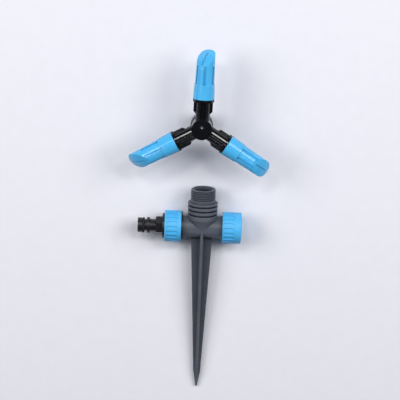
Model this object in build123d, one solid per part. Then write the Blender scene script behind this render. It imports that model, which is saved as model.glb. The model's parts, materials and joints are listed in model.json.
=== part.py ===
from build123d import *
import os
from math import asin, atan2, cos, degrees, hypot, radians, sin

# Three-arm rotary lawn sprinkler with its ground spike, laid out with the head beside the spike.
# Millimetres and degrees. The origin is the foot of the rotor's axis, +Y runs away from the spike, +Z is up.
# Threads are plain cylinders at the crest of the outer thread.

# Fits
thread_clearance = 0.12
running_clearance = 0.06
slip_clearance = 0.1
ring_clearance = 0.05
face_gap = 0.3
groove_slack = 0.3
ring_slack = 0.04

# Edges
edge_fine = 0.4
edge_small = 0.6
edge_soft = 0.8
edge_large = 1.2
round_share = 0.4

# Pipe threads: half inch on the head, three quarter inch on the cross pipe and the top stub
half_inch_r = 10.48
three_quarter_r = 13.22
thread_chamfer = 1.0

# Cross pipe, top stub and collar of the spike body
pipe_step = 1.37
pipe_bore_r = 8.6
pipe_reach = 22.0
side_thread_len = 15.0
collar_base = 9.0
collar_r = 16.0
collar_rings = 4
ring_pitch = 4.8
ring_groove = 1.5
groove_depth = 3.0
ring_round = 0.7
top_ring_extra = 2.2
stub_len = 13.4
mouth_chamfer = 0.3
socket_depth = 15.0
cone_foot_r = 12.15
cone_inset = 0.6

# Finned spike
fin_r = 11.4
fin_t = 2.8
fin_root_fillet = 1.4
spike_shoulder = 163.5
spike_shoulder_r = 3.8
spike_len = 180.2
spike_tip_r = 0.9

# Hose adaptor, its grip ring and the end cap
skirt_wall = 1.6
skirt_start = 20.8
skirt_rim_inset = 0.8
skirt_rim_t = 1.6
grip_r = 16.7
grip_wall = 1.76
grip_flutes = 20
flute_w = 3.0
flute_depth = 1.0
flute_len = 11.8
grip_edge = 1.9
grip_round = 1.1
grip_back_round = 0.6
adaptor_floor = 1.2
flange_inset = 1.44
flange_t = 2.4
hex_flats = 17.4
hex_len = 7.3
hex_chamfer = 1.6
hex_chamfer_len = 1.0
nose_neck_r = 6.6
nose_neck_len = 5.8
lock_rib_r = 8.5
lock_rib_len = 3.4
lock_groove_r = 6.4
lock_groove_len = 2.2
o_ring_groove_len = 2.7
o_ring_groove_r = 5.7
o_ring_wire_r = 1.25
nose_r = 7.9
nose_len = 5.0
nose_bore_r = 4.3
cap_wall = 2.7
cap_start = 21.6
cap_dome = 0.7
cap_dome_share = 0.55
cap_dome_round = 4.0
cap_flute_start = 0.8
washer_t = 2.0

# Base of the head and the spindle
head_stub_len = 15.0
head_bore_r = 4.2
base_flange_r = 12.0
base_flange_t = 6.0
base_neck_r = 9.2
base_neck_len = 5.8
seal_t = 1.6
seal_seat = 0.9
seal_inset = 0.2
spindle_r = 5.5
spindle_bore_r = 3.9
spindle_depth = 15.0
spindle_head_r = 7.8
spindle_head_t = 2.6
spindle_ring_wire_r = 0.8
thrust_t = 1.0
thrust_inset = 0.4

# Hub and arms of the rotor
hub_r = 11.0
hub_wall = 1.9
hub_floor_t = 3.7
hub_foot_len = 3.0
hub_foot_round = 2.0
hub_below_arm = 13.7
cap_ledge = 0.15
arm_turn = -3.7
arm_rise = 3.0
arm_count = 3
arm_root_share = 0.6
arm_r = 7.65
arm_bore_r = 4.6
rib_r = 10.1
rib_t = 2.2
rib_lean = 20.0
rib_start = 15.7
rib_round = 0.4
rib_sink = 1.0
rib_in_hub = 3.0
collar_face = 31.4
arm_collar_r = 11.3
arm_collar_t = 2.6
spigot_len = 15.0
spigot_groove_at = 5.0
spigot_wire_r = 0.9
cap_lip = 0.7
cap_dome_r = 45.0
cap_plug = 3.0
cap_plug_wall = 1.5

# Nozzle sleeves
nozzle_r = 11.45
nozzle_len = 51.8
sleeve_skirt_len = 16.0
sleeve_step_r = 10.6
sleeve_land_r = 10.1
sleeve_tip_r = 9.3
sleeve_tip_round = 3.5
sleeve_step_len = 0.5
sleeve_flutes = 6
sleeve_flute_bed = 8.3
sleeve_flute_w = 2.8
sleeve_flute_len = 19.5
sleeve_flute_round = 0.8
bevel_start = 31.0
bevel_dome_r = 34.0
bevel_land = 1.2
nozzle_wall = 1.9
jet_count = 6
jet_r = 0.7
jet_row = 14.5
jet_slot_depth = 0.6
nozzle_turns = (33.0, 27.0, 6.0)

# Places of the two groups on the surface
mouth_to_axis = 68.9
spike_yaw = -2.2
tee_offset = 0.1

# Heights that follow
pipe_end = pipe_reach + side_thread_len
seat = pipe_end + washer_t
collar_top = collar_base + collar_rings * ring_pitch - ring_groove + top_ring_extra
mouth = collar_top + stub_len
skirt_r = grip_r - grip_wall
skirt_bore_r = skirt_r - skirt_wall
skirt_rim_r = grip_r - skirt_rim_inset
flange_r = skirt_r - flange_inset
side_thread_r = skirt_bore_r - thread_clearance
pipe_r = side_thread_r - pipe_step
ring_end = seat + adaptor_floor
flange_end = ring_end + flange_t
neck_start = flange_end + hex_len
rib_at = neck_start + nose_neck_len
groove_at = rib_at + lock_rib_len
nose_groove = groove_at + lock_groove_len
nose_start = nose_groove + o_ring_groove_len
nose_end = nose_start + nose_len
flange_top = head_stub_len + base_flange_t
neck_top = flange_top + base_neck_len
hub_bottom = neck_top + thrust_t
hub_floor = hub_bottom + hub_floor_t
spindle_seat = hub_floor + thrust_t
arm_z = hub_bottom + hub_below_arm
rib_crest = rib_r * cos(radians(rib_lean)) + rib_t / 2 * sin(radians(rib_lean))
hub_top = arm_z + rib_crest + hub_r * sin(radians(arm_rise)) + cap_ledge
chamber_r = hub_r - hub_wall
spigot_end = collar_face + spigot_len
nozzle_start = collar_face + face_gap
nozzle_end = nozzle_start + nozzle_len
bore_r = arm_r + slip_clearance


def turned(outline, rounds=()):
    """Turn a closed outline of (radius, height) points about Z and round its (radius, height, fillet) corners."""
    face = make_face(Polyline(*outline, close=True))
    for r, z, size in rounds:
        corner = face.vertices().sort_by_distance((r, z))[0]
        face = fillet(corner, size)
    return revolve(Plane.XZ * face, Axis.Z)


def tube(outer, inner, low, high):
    """Plain ring between two heights."""
    return turned([(inner, low), (outer, low), (outer, high), (inner, high)])


def rod(r, low, high):
    """Plain cylinder between two heights."""
    return Pos(0, 0, low) * Cylinder(r, high - low, align=(Align.CENTER, Align.CENTER, Align.MIN))


def o_ring(middle_r, wire_r, height):
    """Ring of round wire."""
    return Pos(0, 0, height) * Torus(middle_r, wire_r)


def threaded_end(r, low, high, end=thread_chamfer):
    """Outer pipe thread as a plain cylinder with its ends chamfered."""
    c = thread_chamfer
    return turned([(0, low), (r - c, low), (r, low + c), (r, high - end), (r - end, high), (0, high)])


def collar():
    """Stack of rounded rings under the top stub, on a cone that runs down into the cross pipe."""
    core = collar_r - groove_depth
    cone = collar_r - cone_inset
    shape = turned([(0, 0), (cone_foot_r, 0), (cone, collar_base), (core, collar_base), (core, collar_top),
                    (0, collar_top)])
    for number in range(collar_rings):
        low = collar_base + number * ring_pitch
        last = number == collar_rings - 1
        high = collar_top if last else low + ring_pitch - ring_groove
        corners = [(collar_r, low, ring_round), (collar_r, high, ring_round)]
        shape += turned([(0, low), (collar_r, low), (collar_r, high), (0, high)], corners)
    return shape


def fins():
    """Four fins of the spike, cut from a cross by a turned taper."""
    top = fin_r
    reach = spike_len
    hanging = Align.CENTER, Align.CENTER, Align.MAX
    cross = Box(2 * top, fin_t, reach, align=hanging) + Box(fin_t, 2 * top, reach, align=hanging)
    half = fin_t / 2
    inner = [e for e in cross.edges().filter_by(Axis.Z) if abs(abs(e.center().X) - half) < 0.01]
    inner = [e for e in inner if abs(abs(e.center().Y) - half) < 0.01]
    cross = fillet(inner, fin_root_fillet)
    taper = turned([(0, 0), (top, 0), (top, -pipe_r), (spike_shoulder_r, -spike_shoulder),
                    (spike_tip_r, -reach), (0, -reach)])
    return cross & taper


def spike_body():
    """Cross pipe, collar, top stub and spike in one moulding, upright about the middle of the cross pipe."""
    across = Rot(0, 90, 0)
    body = across * rod(pipe_r, -pipe_reach - thread_chamfer, pipe_reach + thread_chamfer)
    body += across * threaded_end(side_thread_r, pipe_reach, pipe_end)
    body += across * threaded_end(side_thread_r, -pipe_end, -pipe_reach)
    body += collar()
    body += threaded_end(three_quarter_r, collar_top - thread_chamfer, mouth, mouth_chamfer)
    body += fins()
    body -= across * rod(pipe_bore_r, -pipe_end, pipe_end)
    body -= rod(pipe_bore_r, 0, mouth)
    socket_r = half_inch_r + thread_clearance
    lip = mouth_chamfer
    low = mouth - socket_depth
    body -= turned([(0, low), (socket_r, low), (socket_r, mouth - lip), (socket_r + lip, mouth), (0, mouth)])
    return body


def adaptor_outline():
    """Half section of the hose adaptor, from the open end of its skirt to the end of its nose."""
    rim_end = skirt_start + skirt_rim_t
    return [
        (skirt_bore_r, skirt_start), (skirt_rim_r, skirt_start), (skirt_rim_r, rim_end), (skirt_r, rim_end),
        (skirt_r, ring_end), (flange_r, ring_end), (flange_r, flange_end), (nose_neck_r, flange_end),
        (nose_neck_r, rib_at), (lock_rib_r, rib_at), (lock_rib_r, groove_at), (lock_groove_r, groove_at),
        (lock_groove_r, nose_groove), (o_ring_groove_r, nose_groove), (o_ring_groove_r, nose_start),
        (nose_r, nose_start), (nose_r, nose_end), (nose_bore_r, nose_end), (nose_bore_r, seat),
        (skirt_bore_r, seat),
    ]


def inlet_adaptor():
    """Hose adaptor about Z, nose up, measured from the middle of the cross pipe."""
    rounds = [
        (skirt_rim_r, skirt_start, edge_fine), (flange_r, flange_end, edge_soft),
        (flange_r, ring_end, edge_fine), (nose_r, nose_end, edge_large), (nose_r, nose_start, edge_fine),
        (lock_rib_r, rib_at, edge_soft), (lock_rib_r, groove_at, edge_small), (nose_neck_r, rib_at, edge_soft),
        (lock_groove_r, groove_at, edge_fine),
    ]
    body = turned(adaptor_outline(), rounds)
    corner_r = hex_flats / 2 / cos(radians(30))
    prism = extrude(RegularPolygon(corner_r, 6), hex_len)
    flats_end = hex_len - hex_chamfer_len
    trim = turned([(0, 0), (corner_r, 0), (corner_r, flats_end), (corner_r - hex_chamfer, hex_len), (0, hex_len)])
    inside = Cylinder((nose_bore_r + nose_neck_r) / 2, 2 * hex_len)
    return body + Pos(0, 0, flange_end) * ((prism & trim) - inside)


def flutes(low, length):
    """Round-ended shallow slots in a ring around a grip of radius grip_r."""
    slot = Rot(0, 0, 90) * SlotOverall(length, flute_w)
    bed = Plane((grip_r - flute_depth, 0, low + length / 2), x_dir=(0, 1, 0), z_dir=(1, 0, 0))
    cutter = extrude(bed * slot, 2 * flute_depth)
    pitch = 360 / grip_flutes
    return [Rot(0, 0, (number + 0.5) * pitch) * cutter for number in range(grip_flutes)]


def inlet_grip_ring():
    """Fluted ring on the adaptor's skirt, in the adaptor's place."""
    low = skirt_start + skirt_rim_t
    outline = [(skirt_r, low), (grip_r, low), (grip_r, ring_end), (skirt_r, ring_end)]
    limit = round_share * (grip_r - skirt_r)
    rounds = [(grip_r, low, min(grip_back_round, limit)), (grip_r, ring_end, min(grip_round, limit))]
    ring = turned(outline, rounds)
    return ring - flutes(ring_end - grip_edge - flute_len, flute_len)


def end_cap():
    """Fluted cap, closed end up, measured from the middle of the cross pipe."""
    rim = seat + cap_wall
    half = grip_r * cap_dome_share
    outline = [(skirt_bore_r, cap_start), (grip_r, cap_start), (grip_r, rim), (half, rim + cap_dome),
               (0, rim + cap_dome), (0, seat), (skirt_bore_r, seat)]
    rounds = [(grip_r, cap_start, grip_back_round), (grip_r, rim, grip_round),
              (half, rim + cap_dome, cap_dome_round)]
    return turned(outline, rounds) - flutes(cap_start + cap_flute_start, flute_len)


def flat_washer():
    """Rubber washer between an end of the cross pipe and what is screwed on it."""
    return tube(side_thread_r, pipe_bore_r, pipe_end, seat)


def inlet_o_ring():
    """Ring in the groove behind the adaptor's nose."""
    middle = o_ring_groove_r + ring_clearance + o_ring_wire_r
    return o_ring(middle, o_ring_wire_r, (nose_groove + nose_start) / 2)


def head_base():
    """Threaded stub, flange and neck that the rotor stands on."""
    r = half_inch_r
    relief_r = r - seal_seat
    seal_z = head_stub_len - seal_t
    seat_z = neck_top - spindle_depth
    groove_low = neck_top - spindle_depth / 2
    groove_r = spindle_r + 2 * spindle_ring_wire_r
    outline = [(head_bore_r, 0), (r, 0), (r, seal_z), (relief_r, seal_z), (relief_r, head_stub_len),
               (base_flange_r, head_stub_len), (base_flange_r, flange_top), (base_neck_r, flange_top),
               (base_neck_r, neck_top), (spindle_r, neck_top), (spindle_r, seat_z), (head_bore_r, seat_z)]
    rounds = [(base_flange_r, head_stub_len, edge_fine), (base_flange_r, flange_top, edge_large),
              (base_neck_r, flange_top, edge_small)]
    groove = tube(groove_r, spindle_r, groove_low, groove_low + 2 * spindle_ring_wire_r + groove_slack)
    return turned(outline, rounds) - groove


def spindle_o_ring():
    """Ring in the groove of the base's bore, around the spindle."""
    wire = spindle_ring_wire_r - ring_slack
    height = neck_top - spindle_depth / 2 + spindle_ring_wire_r + groove_slack / 2
    return o_ring(spindle_r + ring_clearance + wire, wire, height)


def head_seal_washer():
    """Rubber washer in the relief at the top of the thread, under the flange."""
    inner = half_inch_r - seal_seat + ring_clearance
    return tube(base_flange_r - seal_inset, inner, head_stub_len - seal_t, head_stub_len)


def spindle():
    """Hollow bolt from the base's bore up through the floor of the hub."""
    foot = neck_top - spindle_depth
    top = spindle_seat + spindle_head_t
    outline = [(spindle_bore_r, foot), (spindle_r, foot), (spindle_r, spindle_seat),
               (spindle_head_r, spindle_seat), (spindle_head_r, top), (spindle_bore_r, top)]
    return turned(outline, [(spindle_head_r, top, edge_soft)])


def thrust_washer(outer, low):
    """Slippery washer around the spindle."""
    return tube(outer, spindle_r + running_clearance, low, low + thrust_t)


def arm_place(number):
    """Frame of one arm: Z runs out along it and X points up from its crest."""
    turn = radians(90 + arm_turn + number * 360 / arm_count)
    rise = radians(arm_rise)
    out = Vector(cos(rise) * cos(turn), cos(rise) * sin(turn), sin(rise))
    up = Vector(-sin(rise) * cos(turn), -sin(rise) * sin(turn), cos(rise))
    return Plane((0, 0, arm_z), x_dir=up, z_dir=out).location


def rib(start):
    """One lengthwise rib on the crest of an arm, sloped at the end by the hub."""
    slope = rib_r - arm_r
    end = collar_face - arm_collar_t / 2
    root = arm_r - rib_sink
    outline = [(root, start - rib_sink), (arm_r, start), (rib_r, start + slope), (rib_r, end), (root, end)]
    side = Plane.XZ * make_face(Polyline(*outline, close=True))
    bar = extrude(side, rib_t / 2, both=True)
    crest = bar.edges().filter_by(Axis.Z).group_by(Axis.X)[-1]
    return fillet(crest, min(rib_round, round_share * rib_t))


def arm():
    """One ribbed arm along Z with its collar and the spigot that carries a sleeve."""
    groove = collar_face + spigot_groove_at
    depth = 2 * spigot_wire_r
    body = rod(arm_r, hub_r * arm_root_share, spigot_end)
    body = chamfer(body.edges().group_by(Axis.Z)[-1], edge_soft)
    body += tube(arm_collar_r, arm_bore_r, collar_face - arm_collar_t, collar_face)
    for turn in (rib_lean, 90, 180 - rib_lean, 180 + rib_lean, 270, 360 - rib_lean):
        start = rib_start if turn % 180 == 90 else hub_r - rib_in_hub
        body += Rot(0, 0, turn) * rib(start)
    return body - tube(arm_collar_r, arm_r - depth, groove, groove + depth + groove_slack)


def arm_o_ring():
    """Ring in the groove of a spigot."""
    wire = spigot_wire_r - ring_slack
    height = collar_face + spigot_groove_at + spigot_wire_r + groove_slack / 2
    return o_ring(arm_r - 2 * spigot_wire_r + ring_clearance + wire, wire, height)


def rotor_hub():
    """Hub and its arms in one moulding, with the water chamber and the bores of the arms cut out."""
    foot = hub_bottom + hub_foot_len
    outline = [(0, hub_bottom), (base_neck_r, hub_bottom), (hub_r, foot), (hub_r, hub_top), (0, hub_top)]
    body = turned(outline, [(hub_r, foot, hub_foot_round)])
    places = [arm_place(number) for number in range(arm_count)]
    for place in places:
        body += place * arm()
    body -= rod(chamber_r, hub_floor, hub_top)
    body -= rod(spindle_r + running_clearance, hub_bottom, hub_top)
    for place in places:
        body -= place * rod(arm_bore_r, hub_r * arm_root_share, spigot_end)
    return body


def hub_cap():
    """Domed cap with a plug that closes the water chamber."""
    rise = cap_dome_r - (cap_dome_r**2 - hub_r**2) ** 0.5
    lip = hub_top + cap_lip
    dome = rod(hub_r, hub_top, lip + rise) & (Pos(0, 0, lip + rise - cap_dome_r) * Sphere(cap_dome_r))
    plug_r = chamber_r - slip_clearance
    plug = tube(plug_r, plug_r - cap_plug_wall, hub_top - cap_plug, hub_top)
    return dome + plug


def bevel(inset):
    """Ball whose upper surface slants across a sleeve's tip, set in from the outside by the inset."""
    low = Vector(sleeve_land_r, 0, nozzle_start + bevel_start)
    high = Vector(bevel_land - sleeve_tip_r, 0, nozzle_end)
    chord = high - low
    outward = Vector(chord.Z, 0, -chord.X).normalized()
    drop = (bevel_dome_r**2 - (chord.length / 2) ** 2) ** 0.5
    middle = (low + high) * 0.5 - outward * drop
    return middle, outward, bevel_dome_r - inset


def sleeve_flute_cutters():
    """Narrow flat-bottomed slots along the sides of a sleeve."""
    length = sleeve_flute_len
    slot = RectangleRounded(length, sleeve_flute_w, sleeve_flute_round)
    middle = nozzle_start + sleeve_skirt_len + length / 2
    bed = Plane((sleeve_flute_bed, 0, middle), x_dir=(0, 0, 1), z_dir=(1, 0, 0))
    cutter = extrude(bed * slot, nozzle_r - sleeve_flute_bed)
    pitch = 360 / sleeve_flutes
    return [Rot(0, 0, (number + 0.5) * pitch) * cutter for number in range(sleeve_flutes)]


def jets():
    """Row of small round jets square to the slanted tip, in the floor of a shallow slot."""
    middle, outward, ball_r = bevel(0)
    lean = degrees(atan2(outward.Z, outward.X))
    spread = degrees(jet_row / ball_r)
    row = []
    for number in range(jet_count):
        angle = radians(lean - spread / 2 + spread * number / (jet_count - 1))
        way = Vector(cos(angle), 0, sin(angle))
        foot = middle + way * (ball_r - 2 * nozzle_wall)
        row.append(extrude(Plane(foot, z_dir=way) * Circle(jet_r), 4 * nozzle_wall))
    start = radians(lean - spread / 2)
    section = Plane(middle, x_dir=(cos(start), 0, sin(start)), z_dir=(-sin(start), 0, cos(start)))
    slot = section * (Pos(ball_r, 0) * Rectangle(2 * jet_slot_depth, 2 * jet_r))
    row.append(revolve(slot, Axis(middle, (0, -1, 0)), spread))
    return row


def nozzle():
    """Sleeve along Z that turns on an arm's spigot, with its slanted tip facing +X."""
    step = nozzle_start + sleeve_skirt_len
    outline = [(0, nozzle_start), (nozzle_r, nozzle_start), (sleeve_step_r, step),
               (sleeve_land_r, step + sleeve_step_len), (sleeve_tip_r, nozzle_end), (0, nozzle_end)]
    rounds = [(nozzle_r, nozzle_start, edge_fine), (sleeve_tip_r, nozzle_end, sleeve_tip_round)]
    body = turned(outline, rounds) - sleeve_flute_cutters()
    middle, _, ball_r = bevel(0)
    above = rod(nozzle_len, middle.Z, nozzle_end + nozzle_len)
    body -= above - Pos(*middle) * Sphere(ball_r)
    hollow_r = sleeve_flute_bed - nozzle_wall
    hollow = rod(bore_r, nozzle_start, spigot_end + face_gap)
    inner_ball = Pos(*middle) * Sphere(ball_r - nozzle_wall)
    hollow += rod(hollow_r, nozzle_start, nozzle_end - nozzle_wall) & inner_ball
    return body - hollow - jets()


def lying():
    """Place of the spike group: on its two round grips and the shoulder of its lower fin."""
    def lean(length, r):
        return degrees(asin(grip_r / hypot(length, r)) - atan2(r, length))

    tilt = min(lean(spike_shoulder, spike_shoulder_r), lean(spike_len, spike_tip_r))
    reach = mouth * cos(radians(tilt))
    turn = radians(spike_yaw)
    place = Pos(tee_offset, -mouth_to_axis - reach * cos(turn), grip_r)
    return place * Rot(0, 0, spike_yaw) * Rot(tilt, 0, 0) * Rot(-90, 0, 0)


def nodes():
    """Every piece by name, each in its place."""
    tee = lying()
    inlet = tee * Rot(0, -90, 0)
    outlet = tee * Rot(0, 90, 0)
    made = {
        "spike_body": tee * spike_body(),
        "inlet_adaptor": inlet * inlet_adaptor(),
        "inlet_grip_ring": inlet * inlet_grip_ring(),
        "inlet_o_ring": inlet * inlet_o_ring(),
        "inlet_washer": inlet * flat_washer(),
        "end_cap": outlet * end_cap(),
        "end_cap_washer": outlet * flat_washer(),
        "head_base": head_base(),
        "head_seal_washer": head_seal_washer(),
        "spindle": spindle(),
        "spindle_o_ring": spindle_o_ring(),
        "lower_thrust_washer": thrust_washer(base_neck_r - thrust_inset, neck_top),
        "upper_thrust_washer": thrust_washer(spindle_head_r, hub_floor),
        "rotor_hub": rotor_hub(),
        "hub_cap": hub_cap(),
    }
    sleeve = nozzle()
    for number in range(arm_count):
        place = arm_place(number)
        made[f"arm_o_ring_{number + 1}"] = place * arm_o_ring()
        made[f"nozzle_{number + 1}"] = place * (Rot(0, 0, -nozzle_turns[number]) * sleeve)
    return made


if __name__ == "__main__":
    os.makedirs("parts", exist_ok=True)
    for name, shape in nodes().items():
        export_step(shape, f"parts/{name}.step")
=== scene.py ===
"""Looks of a three-arm lawn sprinkler and its ground spike: threads, collar, finishes and a studio."""

import json
import math

import bpy
from bpy.props import FloatProperty, FloatVectorProperty, IntProperty, PointerProperty
from mathutils import Matrix, Vector


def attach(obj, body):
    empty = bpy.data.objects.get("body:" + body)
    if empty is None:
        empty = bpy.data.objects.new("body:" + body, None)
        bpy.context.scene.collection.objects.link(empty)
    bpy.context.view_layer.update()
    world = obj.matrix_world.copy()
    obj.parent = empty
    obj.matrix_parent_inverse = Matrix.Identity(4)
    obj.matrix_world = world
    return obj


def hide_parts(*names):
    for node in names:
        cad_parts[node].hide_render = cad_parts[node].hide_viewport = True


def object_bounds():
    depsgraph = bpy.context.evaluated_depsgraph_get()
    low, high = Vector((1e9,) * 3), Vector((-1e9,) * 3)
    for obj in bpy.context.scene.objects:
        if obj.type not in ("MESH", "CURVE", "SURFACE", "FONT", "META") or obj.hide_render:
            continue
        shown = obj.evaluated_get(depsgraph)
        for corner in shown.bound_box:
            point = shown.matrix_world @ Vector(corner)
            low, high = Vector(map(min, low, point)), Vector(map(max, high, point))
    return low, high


bl_info = {
    "name": "Lawn sprinkler looks",
    "version": (1, 0, 0),
    "blender": (4, 5, 0),
    "location": "3D View > Sidebar > Sprinkler",
    "description": "Cuts threads and grooves, gives every piece its finish and sets up a studio",
    "category": "Object",
}

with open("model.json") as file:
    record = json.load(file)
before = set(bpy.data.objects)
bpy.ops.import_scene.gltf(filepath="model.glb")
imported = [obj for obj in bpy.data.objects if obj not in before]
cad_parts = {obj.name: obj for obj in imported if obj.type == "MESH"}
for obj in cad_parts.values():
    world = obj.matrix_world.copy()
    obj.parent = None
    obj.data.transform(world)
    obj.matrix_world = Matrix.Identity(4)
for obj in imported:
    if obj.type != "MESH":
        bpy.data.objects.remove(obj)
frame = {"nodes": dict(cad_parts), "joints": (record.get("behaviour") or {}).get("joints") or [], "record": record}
CAD_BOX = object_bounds()
MM = 0.001

# Screwed hose pieces: node, body, material and slot
HOSE_PIECES = (
    ("inlet_adaptor", "inlet", "hose_plastic", "black_plastic"),
    ("end_cap", "cap", "grip_plastic", "blue_plastic"),
)

# Other pieces by finish
RUBBER_PIECES = ("inlet_o_ring", "inlet_washer", "end_cap_washer", "head_seal_washer", "spindle_o_ring")
WHITE_PIECES = ("spindle", "lower_thrust_washer", "upper_thrust_washer")
ARM_NUMBERS = (1, 2, 3)

# Modelling: points nearer than the gap are joined, and edges sharper than the angle stay sharp
MERGE_GAP = 0.002 * MM
SHARP_ANGLE = math.radians(32)

# How far the open side of a thread's form goes past the surface it is cut in or raised on
THREAD_LAP = 0.2 * MM

# Room between the crests of the pipe thread and the bores that screw over it
HOSE_THREAD_GAP = 0.12 * MM

# Rings that shape the collar: how far they go past it, their steps and the turns on a rounded edge
CUT_OVER = 1.7 * MM
RING_STEPS = 96
EDGE_TURNS = tuple(math.radians(degrees) for degrees in (0, 30, 60, 90))

# Noise: detail of each part of the skin, and the bands that are stretched out to nought to one
SKIN_DETAIL = (("Cloud", 3.0), ("Peel", 1.0), ("Grain", 2.0))
SKIN_BAND = (0.3, 0.7)
SCUFF_BAND = (0.66, 0.74)

# Scuffs: turns of the two sets in degrees, and the scale that draws them out into lines
SCUFF_TURNS = (25, -50)
SCUFF_STRETCH = (1, 0.06, 0.5)

# Painted shade in recesses: openness at which the colour is painted black and at which it keeps its plain colour
SLEEVE_SHADE_OPENNESS = (0.42, 0.56)
SPIKE_SHADE_OPENNESS = (0, 1)
PAINTED_SHADE_SAMPLES = 8
EDGE_SAMPLES = 6

# Studio: places and sizes in metres
FLOOR_SIZE = 6
SIDE_PLACE = (1.4, 0.55, 1.45)
SIDE_SIZE = (1.2, 1.1)
LEFT_BACK_PLACE = (-0.43, 0.98, 1.75)
RIGHT_BACK_PLACE = (0.6, 0.88, 1.75)
BACK_SIZE = (0.4, 0.3)
DOT_PLACE = (0, -0.18, 3)
DOT_SIZE = (0.16, 0.16)
FAR_CLIP = 20

# Width of the camera's sensor in millimetres
SENSOR_WIDTH = 36


# Settings

def from_screen(red, green, blue):
    """Linear colour from the three 8-bit values of a screen colour, by the curve of sRGB."""
    def channel(value):
        share = value / 255
        return share / 12.92 if share <= 0.04045 else ((share + 0.055) / 1.055) ** 2.4

    return channel(red), channel(green), channel(blue)


def colour_property(name, description, screen):
    """Colour setting with its default given as a screen colour."""
    return FloatVectorProperty(name=name, description=description, subtype="COLOR", size=3,
                               min=0, max=1, default=from_screen(*screen))


def length_property(name, description, millimetres):
    """Length setting with its default given in millimetres."""
    return FloatProperty(name=name, description=description, unit="LENGTH", subtype="DISTANCE",
                         min=0, precision=5, default=millimetres * MM)


def power_property(name, description, watts):
    """Lamp power setting."""
    return FloatProperty(name=name, description=description, unit="POWER", min=0, default=watts)


class FinishSettings(bpy.types.PropertyGroup):
    """Colours and grain of the moulded materials."""

    blue: colour_property("Blue", "Colour of the sleeves, the grip ring and the end cap", (76, 178, 232))
    black: colour_property("Black", "Colour of the rotor", (15, 15, 19))
    hose_black: colour_property("Hose black", "Colour of the hose adaptor", (30, 29, 33))
    grey: colour_property("Grey", "Colour of the spike and the head's base", (87, 92, 103))
    rubber: colour_property("Rubber", "Colour of the seals", (34, 33, 35))
    white: colour_property("White", "Colour of the spindle and its washers", (226, 223, 214))
    grain: length_property("Grain", "Size of the fine moulding grain", 0.45)
    cloud: length_property("Cloud", "Size of the faint changes of shade in the plastic", 14)
    peel: length_property("Peel", "Size of the soft waves left by shrinkage", 3.2)
    scuff: length_property("Scuff", "Width of the noise that the hairline scuffs are drawn from", 1.4)
    edge: length_property("Edge", "Radius that sharp edges take the light with", 0.2)
    # Reach of the shade painted by occlusion into the spike's grooves and corners and into the sleeves' jets and
    # slots
    painted_shade: length_property("Recess", "Reach of the darker tone in the spike's grooves and corners", 18)
    pinhole: length_property("Pinhole", "Reach of the darker tone in the sleeves' jets and slots", 1.2)


class ThreadSettings(bpy.types.PropertyGroup):
    """Form of the pipe threads, fourteen to the inch."""

    pitch: length_property("Pitch", "Advance in one turn", 1.814)
    depth: length_property("Depth", "Depth of the V below the crest", 1.2)
    flat: length_property("Crest flat", "Width left between two grooves", 0.2)
    play: length_property("Play", "Room between the tip of an inner thread and the groove it runs in", 0.2)
    runout: length_property("Run-out", "Plain length at the foot of an outer thread", 1.2)
    steps: IntProperty(name="Steps", description="Straight steps in one turn", min=12, max=96, default=48)


class CollarSettings(bpy.types.PropertyGroup):
    """Collar of the spike, with heights over the middle of the cross pipe, along the stub."""

    radius: length_property("Radius", "Outer radius of the collar", 16.03)
    core: length_property("Core", "Inner radius of the filling, inside the wall of the stub", 12.6)
    foot: length_property("Foot", "Height at which the filling starts", 9.75)
    top: length_property("Top", "Height of the top face", 27.8)
    rounding: length_property("Rounding", "Radius of the rounded edges", 0.7)
    grooves: IntProperty(name="Grooves", description="Number of grooves", min=1, max=3, default=3)
    first_groove: length_property("First groove", "Height of the lowest groove's middle", 15.15)
    groove_pitch: length_property("Groove pitch", "Height from one groove to the next", 4.8)
    groove_width: length_property("Groove width", "Height of a groove at its floor", 1.5)
    groove_floor: length_property("Groove floor", "Radius at the floor of a groove", 13)
    stub: length_property("Stub", "Radius of the stub over the collar", 13.2)


class StageSettings(bpy.types.PropertyGroup):
    """Camera, lamps and floor."""

    camera_place: FloatVectorProperty(name="Camera place", description="Where the camera stands",
                                      unit="LENGTH", subtype="TRANSLATION",
                                      default=(-0.00111, 0.40098, 2.5))
    camera_pitch: FloatProperty(name="Camera pitch", description="Tip of the camera from straight down",
                                unit="ROTATION", subtype="ANGLE", default=math.radians(-11))
    camera_roll: FloatProperty(name="Camera roll", description="Turn of the picture about its middle",
                               unit="ROTATION", subtype="ANGLE", default=math.radians(-0.11))
    camera_lens: FloatProperty(name="Lens", description="Focal length on a 36 mm sensor, in millimetres",
                               unit="CAMERA", min=1, default=213.08)
    floor: colour_property("Floor", "Colour of the floor", (227, 227, 234))
    sky: colour_property("Sky", "Colour of the light from all round", (214, 226, 255))
    sky_strength: FloatProperty(name="Sky strength", description="Light from all round",
                                min=0, default=0.07)
    dot_power: power_property("Dot power", "Power of the small lamp overhead", 1.6)
    back_power: power_property("Back power", "Power of each small box beyond the head", 7.0)
    side_power: power_property("Side power", "Power of each soft box at the sides", 26.0)


class SprinklerSettings(bpy.types.PropertyGroup):
    """All the settings of the sprinkler."""

    finish: PointerProperty(type=FinishSettings, name="Finish", description="Colours and grain")
    thread: PointerProperty(type=ThreadSettings, name="Thread", description="Form of the pipe threads")
    collar: PointerProperty(type=CollarSettings, name="Collar", description="Grooved collar of the spike")
    stage: PointerProperty(type=StageSettings, name="Stage", description="Camera, lamps and floor")


# Selection and copies

def only(piece):
    """Select one piece and nothing else."""
    bpy.ops.object.select_all(action="DESELECT")
    piece.select_set(True)
    bpy.context.view_layer.objects.active = piece


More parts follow.
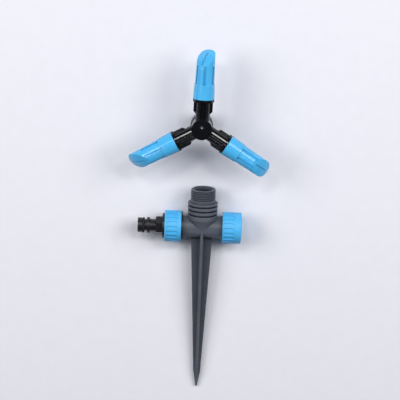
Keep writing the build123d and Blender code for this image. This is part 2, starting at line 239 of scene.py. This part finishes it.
def copy_of(node_name, piece_name):
    """New piece with the shape of a CAD node, its loose triangles joined."""
    piece = bpy.data.objects.new(piece_name, frame["nodes"][node_name].data.copy())
    bpy.context.scene.collection.objects.link(piece)
    only(piece)
    bpy.ops.object.mode_set(mode="EDIT")
    bpy.ops.mesh.select_all(action="SELECT")
    bpy.ops.mesh.customdata_custom_splitnormals_clear()
    bpy.ops.mesh.remove_doubles(threshold=MERGE_GAP)
    bpy.ops.object.mode_set(mode="OBJECT")
    return piece


def apply_modifier(piece, kind, **values):
    """Add one modifier to a piece and apply it at once."""
    only(piece)
    modifier = piece.modifiers.new(kind.lower(), kind)
    for key, value in values.items():
        setattr(modifier, key, value)
    bpy.ops.object.modifier_apply(modifier=modifier.name)


def smooth(piece):
    """Shade a piece smooth, with its sharper edges kept."""
    only(piece)
    bpy.ops.object.shade_smooth_by_angle(angle=SHARP_ANGLE)


def stand_for(piece, node_name, body):
    """Let a piece take the place of a CAD node."""
    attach(piece, body)
    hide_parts(node_name)


def wear(piece, material):
    """Give a piece one material all over."""
    piece.data.materials.clear()
    piece.data.materials.append(material)
    for face in piece.data.polygons:
        face.material_index = 0


def dress(names, material):
    """Give CAD nodes their finish through their own material slots."""
    for name in names:
        node = frame["nodes"][name]
        if not node.material_slots:
            node.data.materials.append(material)
        for slot in node.material_slots:
            slot.material = material


# Places taken from the frame

def joint(name):
    """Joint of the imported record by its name."""
    return next(row for row in frame["joints"] if row["name"] == name)


def mount(name):
    """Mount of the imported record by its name."""
    return next(row for row in frame["record"]["mounts"] if row["name"] == name)


def mount_size(name):
    """Radius and length of a mount in metres."""
    dims = mount(name)["dims"]
    return dims["r_mm"] * MM, dims["length_mm"] * MM


def pipe_middle():
    """Middle of the cross pipe, where its axis meets that of the stub."""
    return Vector(joint("inlet_turn")["pos_m"])


def pipe_thread(body):
    """Axis and length of the cross pipe's thread under a screwed fitting."""
    return Vector(joint(f"{body}_turn")["axis"]), joint(f"{body}_travel")["range_m"][1]


def spike_end(axis):
    """Point where the spike body ends on an axis through the middle of the cross pipe."""
    middle = pipe_middle()
    mesh = frame["nodes"]["spike_body"].data
    return middle + axis * max((vertex.co - middle).dot(axis) for vertex in mesh.vertices)


# Forms that are cut away or added

def outline_loop(name, corners):
    """Closed loop of edges through the given corners."""
    bpy.ops.object.select_all(action="DESELECT")
    bpy.ops.mesh.primitive_circle_add(vertices=len(corners), fill_type="NOTHING")
    piece = bpy.context.object
    piece.name = name
    for vertex, corner in zip(piece.data.vertices, corners):
        vertex.co = corner
    return piece


def close_form(piece, open_sides=0):
    """Fill the open ends of a form, if it has any, and point its faces outwards."""
    only(piece)
    bpy.ops.object.mode_set(mode="EDIT")
    bpy.ops.mesh.select_all(action="SELECT")
    if open_sides:
        bpy.ops.mesh.fill_holes(sides=open_sides)
        bpy.ops.mesh.select_all(action="SELECT")
    bpy.ops.mesh.normals_make_consistent(inside=False)
    bpy.ops.object.mode_set(mode="OBJECT")


def join_form(piece, form, operation):
    """Add a form to a piece or take it away, and delete the form."""
    apply_modifier(piece, "BOOLEAN", operation=operation, solver="EXACT", object=form)
    bpy.data.objects.remove(form)


def put(piece, origin, axis):
    """Stand a piece modelled along Z on a point, along an axis, and leave its object at the origin."""
    turn = axis.to_track_quat("Z", "Y").to_matrix().to_4x4()
    piece.matrix_world = Matrix.Translation(origin) @ turn
    only(piece)
    bpy.ops.object.transform_apply(location=True, rotation=True, scale=True)


# Threads

def thread_form(name, point_r, open_r, turns, thread):
    """Helical V along Z from zero up, with its point at one radius and its open side at the other."""
    half = (thread.pitch - thread.flat) * (open_r - point_r) / thread.depth / 2
    corners = (point_r, 0, 0), (open_r, 0, half), (open_r, 0, -half)
    piece = outline_loop(name, corners)
    apply_modifier(piece, "SCREW", axis="Z", angle=math.tau, screw_offset=thread.pitch,
                   iterations=turns, steps=thread.steps, render_steps=thread.steps)
    close_form(piece, open_sides=len(corners))
    return piece


def cut_outer_thread(piece, crest_r, length, end, axis, thread):
    """Cut a thread into a plain end of a piece, from its end back along its axis."""
    turns = round((length - thread.runout) / thread.pitch + 0.5)
    cutter = thread_form("thread_cutter", crest_r - thread.depth, crest_r + THREAD_LAP, turns, thread)
    put(cutter, end + axis * thread.pitch / 2, -axis)
    join_form(piece, cutter, "DIFFERENCE")


def raise_inner_thread(piece, bore_r, crest_r, length, end, axis, thread):
    """Raise a thread in a bore, to fit an outer thread of that crest that runs back from the end."""
    turns = round((length - thread.runout) / thread.pitch) - 1
    tip_r = crest_r - thread.depth + thread.play
    ridge = thread_form("thread_ridge", tip_r, bore_r + THREAD_LAP, turns, thread)
    put(ridge, end - axis * thread.pitch / 2, -axis)
    join_form(piece, ridge, "UNION")


# Collar

def spun_ring(name, outline, start):
    """Ring round Z from a closed outline of radii and heights, stepped from a starting angle."""
    across, along = math.cos(start), math.sin(start)
    piece = outline_loop(name, [(radius * across, radius * along, height) for radius, height in outline])
    apply_modifier(piece, "SCREW", axis="Z", angle=math.tau, screw_offset=0,
                   steps=RING_STEPS, render_steps=RING_STEPS)
    close_form(piece)
    return piece


def rounded_edge(collar, height, side):
    """Outline of a rounded outer edge of the collar, from its face at a height out past its wall."""
    points = []
    for turn in EDGE_TURNS:
        points.append((collar.radius - collar.rounding * (1 - math.sin(turn)),
                       height - side * collar.rounding * (1 - math.cos(turn))))
    return [*points, (collar.radius + CUT_OVER, points[-1][1])]


def shape_collar(piece, middle, axis, collar):
    """Fill the collar of the spike out to its full radius, then cut its top and its grooves."""
    over = collar.top + CUT_OVER
    fill_top = over - collar.rounding
    filling = [(collar.core, collar.foot), (collar.radius, collar.foot),
               (collar.radius, fill_top), (collar.core, fill_top)]
    cuts = [[(collar.stub, over), (collar.stub, collar.top), *rounded_edge(collar, collar.top, 1),
             (collar.radius + CUT_OVER, over)]]
    for number in range(collar.grooves):
        centre = collar.first_groove + number * collar.groove_pitch
        low = centre - collar.groove_width / 2
        high = centre + collar.groove_width / 2
        cuts.append([(collar.groove_floor, high), (collar.groove_floor, low),
                     *rounded_edge(collar, low, 1), *reversed(rounded_edge(collar, high, -1))])
    half_step = math.pi / RING_STEPS
    for operation, outlines, start in (("UNION", [filling], 0), ("DIFFERENCE", cuts, half_step)):
        for outline in outlines:
            ring = spun_ring("collar_ring", outline, start)
            put(ring, middle, axis)
            join_form(piece, ring, operation)


# Nodes of the materials

def add(tree, kind, **values):
    """Add a node and set its own values and, by name, those of its sockets."""
    node = tree.nodes.new(kind)
    for key, value in values.items():
        if hasattr(node, key):
            setattr(node, key, value)
        else:
            node.inputs[key.replace("_", " ").title()].default_value = value
    return node


def colour_mix(tree, factor):
    """Mix of two colours by a factor from a socket: its two colour inputs and its colour output."""
    node = add(tree, "ShaderNodeMix", data_type="RGBA")
    tree.links.new(factor, node.inputs["Factor"])
    first, second = [socket for socket in node.inputs if socket.type == "RGBA"]
    return first, second, next(socket for socket in node.outputs if socket.type == "RGBA")


def stretched(tree, value, band, interpolation="LINEAR"):
    """Stretch a band of values out to nought to one."""
    low, high = band
    node = add(tree, "ShaderNodeMapRange", interpolation_type=interpolation, from_min=low, from_max=high)
    tree.links.new(value, node.inputs["Value"])
    return node.outputs["Result"]


def size_to_scale(tree, source):
    """Turn a size in metres into a texture scale."""
    invert = add(tree, "ShaderNodeMath", operation="DIVIDE")
    invert.inputs[0].default_value = 1
    tree.links.new(source, invert.inputs[1])
    return invert.outputs[0]


def noise(tree, coordinates, scale, detail=2.0):
    """Noise texture on given coordinates, at a scale from a socket."""
    node = add(tree, "ShaderNodeTexNoise", detail=detail)
    tree.links.new(coordinates, node.inputs["Vector"])
    tree.links.new(scale, node.inputs["Scale"])
    return node.outputs["Fac"]


# Shared effects of the materials

def effect(name, inputs, outputs):
    """Empty node group with number inputs and outputs."""
    tree = bpy.data.node_groups.new(name, "ShaderNodeTree")
    for socket in inputs:
        tree.interface.new_socket(socket, in_out="INPUT", socket_type="NodeSocketFloat")
    for socket in outputs:
        tree.interface.new_socket(socket, in_out="OUTPUT", socket_type="NodeSocketFloat")
    return tree, tree.nodes.new("NodeGroupInput"), tree.nodes.new("NodeGroupOutput")


def moulded_skin():
    """Effect of a moulded surface: shade clouds, soft waves and fine grain, each from nought to one."""
    tree, given, out = effect("moulded_skin", ("Cloud", "Peel", "Grain"), ("Cloud", "Peel", "Grain"))
    where = add(tree, "ShaderNodeTexCoord").outputs["Object"]
    for name, detail in SKIN_DETAIL:
        value = noise(tree, where, size_to_scale(tree, given.outputs[name]), detail)
        tree.links.new(stretched(tree, value, SKIN_BAND, "SMOOTHSTEP"), out.inputs[name])


def hairline_scuffs():
    """Effect of handling: thin scratches in two directions, only where the noise is highest."""
    tree, given, out = effect("hairline_scuffs", ("Size",), ("Scuff",))
    where = add(tree, "ShaderNodeTexCoord").outputs["Object"]
    scale = size_to_scale(tree, given.outputs["Size"])
    both = add(tree, "ShaderNodeMath", operation="MAXIMUM")
    for turn, socket in zip(SCUFF_TURNS, both.inputs):
        drawn_out = add(tree, "ShaderNodeMapping")
        drawn_out.inputs["Rotation"].default_value = (math.radians(turn / 2), 0, math.radians(turn))
        drawn_out.inputs["Scale"].default_value = SCUFF_STRETCH
        tree.links.new(where, drawn_out.inputs["Vector"])
        lines = noise(tree, drawn_out.outputs["Vector"], scale)
        tree.links.new(stretched(tree, lines, SCUFF_BAND), socket)
    tree.links.new(both.outputs[0], out.inputs["Scuff"])


# Materials

def paint_recess_shade(tree, colour, reach_in, openness):
    """Paint shade into a colour where the piece itself closes in round a point, over a band of openness."""
    self_occlusion = add(tree, "ShaderNodeAmbientOcclusion", samples=PAINTED_SHADE_SAMPLES, only_local=True)
    self_occlusion.inputs["Distance"].default_value = reach_in
    black, plain, result = colour_mix(tree, stretched(tree, self_occlusion.outputs["AO"], openness))
    black.default_value = (0, 0, 0, 1)
    tree.links.new(colour, plain)
    return result


def moulded(name, colour, shade, rough, rough_spread, grain_height, peel_height, gloss=0.5, painted_shade=None):
    """Moulded material: clouded colour, painted shade in recesses, uneven gloss, scuffs, soft edges and relief."""
    finish = bpy.context.scene.sprinkler.finish
    material = bpy.data.materials.new(name)
    material.use_nodes = True
    material.diffuse_color = (*colour, 1)
    tree = material.node_tree
    shader = tree.nodes["Principled BSDF"]
    shader.inputs["Specular IOR Level"].default_value = gloss

    skin = add(tree, "ShaderNodeGroup", node_tree=bpy.data.node_groups["moulded_skin"])
    skin.inputs["Cloud"].default_value = finish.cloud
    skin.inputs["Peel"].default_value = finish.peel
    skin.inputs["Grain"].default_value = finish.grain
    scuffs = add(tree, "ShaderNodeGroup", node_tree=bpy.data.node_groups["hairline_scuffs"])
    scuffs.inputs["Size"].default_value = finish.scuff

    tint_from, tint_to, tinted = colour_mix(tree, skin.outputs["Cloud"])
    tint_from.default_value = (*colour, 1)
    tint_to.default_value = (*(channel * shade for channel in colour), 1)
    # Shade painted into the colour where the piece closes in on itself
    if painted_shade:
        tinted = paint_recess_shade(tree, tinted, *painted_shade)
    tree.links.new(tinted, shader.inputs["Base Color"])

    clouded = add(tree, "ShaderNodeMath", operation="MULTIPLY_ADD")
    clouded.inputs[1].default_value = rough_spread
    clouded.inputs[2].default_value = rough
    tree.links.new(skin.outputs["Cloud"], clouded.inputs[0])
    scuffed = add(tree, "ShaderNodeMath", operation="MULTIPLY_ADD")
    scuffed.inputs[1].default_value = rough_spread
    tree.links.new(scuffs.outputs["Scuff"], scuffed.inputs[0])
    tree.links.new(clouded.outputs[0], scuffed.inputs[2])
    tree.links.new(scuffed.outputs[0], shader.inputs["Roughness"])

    softened = add(tree, "ShaderNodeBevel", samples=EDGE_SAMPLES)
    softened.inputs["Radius"].default_value = finish.edge
    normal = softened.outputs["Normal"]
    for output, height in (("Peel", peel_height), ("Grain", grain_height)):
        bump = add(tree, "ShaderNodeBump")
        bump.inputs["Strength"].default_value = 1
        bump.inputs["Distance"].default_value = height
        tree.links.new(skin.outputs[output], bump.inputs["Height"])
        tree.links.new(normal, bump.inputs["Normal"])
        normal = bump.outputs["Normal"]
    tree.links.new(normal, shader.inputs["Normal"])


def sleeve_plastic(finish):
    """Bright blue with the gloss of a polished mould and shade painted into its jets and slots, for the sleeves.
    """
    moulded("sleeve_plastic", finish.blue, shade=0.93, rough=0.16, rough_spread=0.06,
            grain_height=0.003 * MM, peel_height=0.008 * MM, painted_shade=(finish.pinhole, SLEEVE_SHADE_OPENNESS))


def grip_plastic(finish):
    """The same blue with a satin face, for the grips."""
    moulded("grip_plastic", finish.blue, shade=0.93, rough=0.46, rough_spread=0.08,
            grain_height=0.008 * MM, peel_height=0.02 * MM)


def rotor_plastic(finish):
    """Black, fairly glossy, for the hub and its arms."""
    moulded("rotor_plastic", finish.black, shade=0.75, rough=0.13, rough_spread=0.06,
            grain_height=0.003 * MM, peel_height=0.008 * MM, gloss=0.4)


def hose_plastic(finish):
    """Satin black that takes broad highlights, for the hose adaptor."""
    moulded("hose_plastic", finish.hose_black, shade=0.85, rough=0.3, rough_spread=0.08,
            grain_height=0.003 * MM, peel_height=0.008 * MM)


def polished_black(finish):
    """Black from a polished mould, for the cap of the hub."""
    moulded("polished_black", finish.black, shade=0.8, rough=0.08, rough_spread=0.04,
            grain_height=0.001 * MM, peel_height=0.003 * MM)


def spike_plastic(finish):
    """Grey filled plastic, cloudier than the rest, with shade painted into its grooves and corners, for the spike
    and the head's base.
    """
    moulded("spike_plastic", finish.grey, shade=0.86, rough=0.36, rough_spread=0.08,
            grain_height=0.012 * MM, peel_height=0.03 * MM, gloss=0.35,
            painted_shade=(finish.painted_shade, SPIKE_SHADE_OPENNESS))


def seal_rubber(finish):
    """Dull black rubber."""
    moulded("seal_rubber", finish.rubber, shade=0.8, rough=0.7, rough_spread=0.12,
            grain_height=0.014 * MM, peel_height=0.012 * MM, gloss=0.35)


def spindle_plastic(finish):
    """Slippery white plastic."""
    moulded("spindle_plastic", finish.white, shade=0.95, rough=0.38, rough_spread=0.08,
            grain_height=0.005 * MM, peel_height=0.01 * MM)


def floor_paint(stage):
    """Pale matt paint."""
    moulded("floor_paint", stage.floor, shade=0.985, rough=0.7, rough_spread=0.1,
            grain_height=0.004 * MM, peel_height=0, gloss=0.2)


def finish_of(name):
    """Material by its name, made once by the finishes operator."""
    return bpy.data.materials[name]


# Lamps

def lamp(name, place, target, size, power):
    """Rectangular area lamp aimed at a point."""
    light = bpy.data.lights.new(name, "AREA")
    light.shape = "RECTANGLE"
    light.size, light.size_y = size
    light.energy = power
    item = bpy.data.objects.new(name, light)
    item.location = place
    item.rotation_euler = (Vector(target) - Vector(place)).to_track_quat("-Z", "Y").to_euler()
    bpy.context.scene.collection.objects.link(item)


# Operators

class SPRINKLER_OT_finishes(bpy.types.Operator):
    """Make the shared effects and all the materials"""

    bl_idname = "sprinkler.finishes"
    bl_label = "Make the finishes"

    def execute(self, context):
        settings = context.scene.sprinkler
        moulded_skin()
        hairline_scuffs()
        for make in (sleeve_plastic, grip_plastic, rotor_plastic, hose_plastic, polished_black,
                     spike_plastic, seal_rubber, spindle_plastic):
            make(settings.finish)
        floor_paint(settings.stage)
        return {"FINISHED"}


class SPRINKLER_OT_spike(bpy.types.Operator):
    """Shape the spike's collar and make the threads of its top stub, cross pipe and socket"""

    bl_idname = "sprinkler.spike"
    bl_label = "Spike"

    def execute(self, context):
        settings = context.scene.sprinkler
        piece = copy_of("spike_body", "spike_moulding")
        crest_r, stub_length = mount_size("top_thread")
        stub_axis = Vector(mount("top_thread")["axis"])
        shape_collar(piece, pipe_middle(), stub_axis, settings.collar)
        for axis, length in ((stub_axis, stub_length), pipe_thread("inlet"), pipe_thread("cap")):
            cut_outer_thread(piece, crest_r, length, spike_end(axis), axis, settings.thread)
        socket_r, socket_depth = mount_size("top_socket")
        socket_axis = Vector(mount("top_socket")["axis"])
        head_crest_r, _ = mount_size("head_thread")
        raise_inner_thread(piece, socket_r, head_crest_r, socket_depth, spike_end(socket_axis),
                           socket_axis, settings.thread)
        smooth(piece)
        wear(piece, finish_of("spike_plastic"))
        stand_for(piece, "spike_body", "spike")
        return {"FINISHED"}


class SPRINKLER_OT_hose_end(bpy.types.Operator):
    """Make the threads in the hose adaptor and the end cap, and finish them and the grip ring"""

    bl_idname = "sprinkler.hose_end"
    bl_label = "Hose adaptor and end cap"

    def execute(self, context):
        thread = context.scene.sprinkler.thread
        crest_r, _ = mount_size("top_thread")
        bore_r = crest_r + HOSE_THREAD_GAP
        for node_name, body, material, slot in HOSE_PIECES:
            axis, length = pipe_thread(body)
            piece = copy_of(node_name, f"{node_name}_moulding")
            raise_inner_thread(piece, bore_r, crest_r, length, spike_end(axis), axis, thread)
            smooth(piece)
            wear(piece, finish_of(material))
            stand_for(piece, node_name, body)
        dress(("inlet_grip_ring",), finish_of("grip_plastic"))
        return {"FINISHED"}


class SPRINKLER_OT_head_base(bpy.types.Operator):
    """Cut the thread of the head's base"""

    bl_idname = "sprinkler.head_base"
    bl_label = "Base of the head"

    def execute(self, context):
        piece = copy_of("head_base", "head_base_moulding")
        foot = mount("head_thread")
        crest_r, length = mount_size("head_thread")
        cut_outer_thread(piece, crest_r, length, Vector(foot["pos_m"]), Vector(foot["axis"]),
                         context.scene.sprinkler.thread)
        smooth(piece)
        wear(piece, finish_of("spike_plastic"))
        stand_for(piece, "head_base", "head")
        return {"FINISHED"}


class SPRINKLER_OT_rotor(bpy.types.Operator):
    """Finish the hub with its arms and the cap of the hub"""

    bl_idname = "sprinkler.rotor"
    bl_label = "Rotor"

    def execute(self, context):
        dress(("rotor_hub",), finish_of("rotor_plastic"))
        dress(("hub_cap",), finish_of("polished_black"))
        return {"FINISHED"}


class SPRINKLER_OT_sleeves(bpy.types.Operator):
    """Finish the three nozzle sleeves"""

    bl_idname = "sprinkler.sleeves"
    bl_label = "Nozzle sleeves"

    def execute(self, context):
        dress([f"nozzle_{number}" for number in ARM_NUMBERS], finish_of("sleeve_plastic"))
        return {"FINISHED"}


class SPRINKLER_OT_seals(bpy.types.Operator):
    """Finish the rubber seals, the spindle and its washers"""

    bl_idname = "sprinkler.seals"
    bl_label = "Seals and spindle"

    def execute(self, context):
        dress(RUBBER_PIECES, finish_of("seal_rubber"))
        dress([f"arm_o_ring_{number}" for number in ARM_NUMBERS], finish_of("seal_rubber"))
        dress(WHITE_PIECES, finish_of("spindle_plastic"))
        return {"FINISHED"}


class SPRINKLER_OT_stage(bpy.types.Operator):
    """Lay the floor, hang the lamps and stand the camera over the sprinkler"""

    bl_idname = "sprinkler.stage"
    bl_label = "Stage"

    def execute(self, context):
        scene = context.scene
        stage = scene.sprinkler.stage
        low, high = (Vector(corner) for corner in CAD_BOX)
        middle = (low + high) / 2

        bpy.ops.object.select_all(action="DESELECT")
        bpy.ops.mesh.primitive_plane_add(size=FLOOR_SIZE, location=(middle.x, middle.y, low.z))
        floor = context.object
        floor.name = "floor"
        bpy.ops.object.transform_apply(location=True, rotation=True, scale=True)
        wear(floor, finish_of("floor_paint"))

        head_foot = (0, 0, 0)
        head_top = (0, 0, high.z)
        floor_middle = (0, middle.y, 0)
        across, along, up = SIDE_PLACE
        lamp("dot_lamp", DOT_PLACE, head_top, DOT_SIZE, stage.dot_power)
        for name, side, back in (("left", -1, LEFT_BACK_PLACE), ("right", 1, RIGHT_BACK_PLACE)):
            lamp(f"{name}_box", (side * across, along, up), floor_middle, SIDE_SIZE, stage.side_power)
            lamp(f"{name}_back_box", back, head_foot, BACK_SIZE, stage.back_power)

        world = bpy.data.worlds.new("studio")
        world.use_nodes = True
        background = world.node_tree.nodes["Background"]
        background.inputs["Color"].default_value = (*stage.sky, 1)
        background.inputs["Strength"].default_value = stage.sky_strength
        scene.world = world

        camera = bpy.data.cameras.new("photo_camera")
        camera.lens = stage.camera_lens
        camera.sensor_width = SENSOR_WIDTH
        camera.clip_end = FAR_CLIP
        item = bpy.data.objects.new("photo_camera", camera)
        item.location = stage.camera_place
        item.rotation_euler = (stage.camera_pitch, 0, stage.camera_roll)
        scene.collection.objects.link(item)
        scene.camera = item
        scene.view_settings.view_transform = "Standard"
        return {"FINISHED"}


OPERATORS = (
    SPRINKLER_OT_finishes,
    SPRINKLER_OT_spike,
    SPRINKLER_OT_hose_end,
    SPRINKLER_OT_head_base,
    SPRINKLER_OT_rotor,
    SPRINKLER_OT_sleeves,
    SPRINKLER_OT_seals,
    SPRINKLER_OT_stage,
)


class SPRINKLER_PT_sidebar(bpy.types.Panel):
    """Settings and steps of the sprinkler"""

    bl_idname = "SPRINKLER_PT_sidebar"
    bl_label = "Sprinkler"
    bl_space_type = "VIEW_3D"
    bl_region_type = "UI"
    bl_category = "Sprinkler"

    def draw(self, context):
        settings = context.scene.sprinkler
        for group in (settings.finish, settings.thread, settings.collar, settings.stage):
            box = self.layout.box()
            for name in group.bl_rna.properties.keys():
                if name not in ("rna_type", "name"):
                    box.prop(group, name)
        for step in OPERATORS:
            self.layout.operator(step.bl_idname)


CLASSES = (
    FinishSettings,
    ThreadSettings,
    CollarSettings,
    StageSettings,
    SprinklerSettings,
    *OPERATORS,
    SPRINKLER_PT_sidebar,
)


def register():
    """Register the classes and hang the settings on the scene."""
    for item in CLASSES:
        bpy.utils.register_class(item)
    bpy.types.Scene.sprinkler = PointerProperty(type=SprinklerSettings)


def unregister():
    """Take the settings and the classes away again."""
    del bpy.types.Scene.sprinkler
    for item in reversed(CLASSES):
        bpy.utils.unregister_class(item)


def main():
    """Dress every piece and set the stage."""
    register()
    bpy.ops.sprinkler.finishes()
    bpy.ops.sprinkler.spike()
    bpy.ops.sprinkler.hose_end()
    bpy.ops.sprinkler.head_base()
    bpy.ops.sprinkler.rotor()
    bpy.ops.sprinkler.sleeves()
    bpy.ops.sprinkler.seals()
    bpy.ops.sprinkler.stage()


if __name__ == "__main__":
    main()
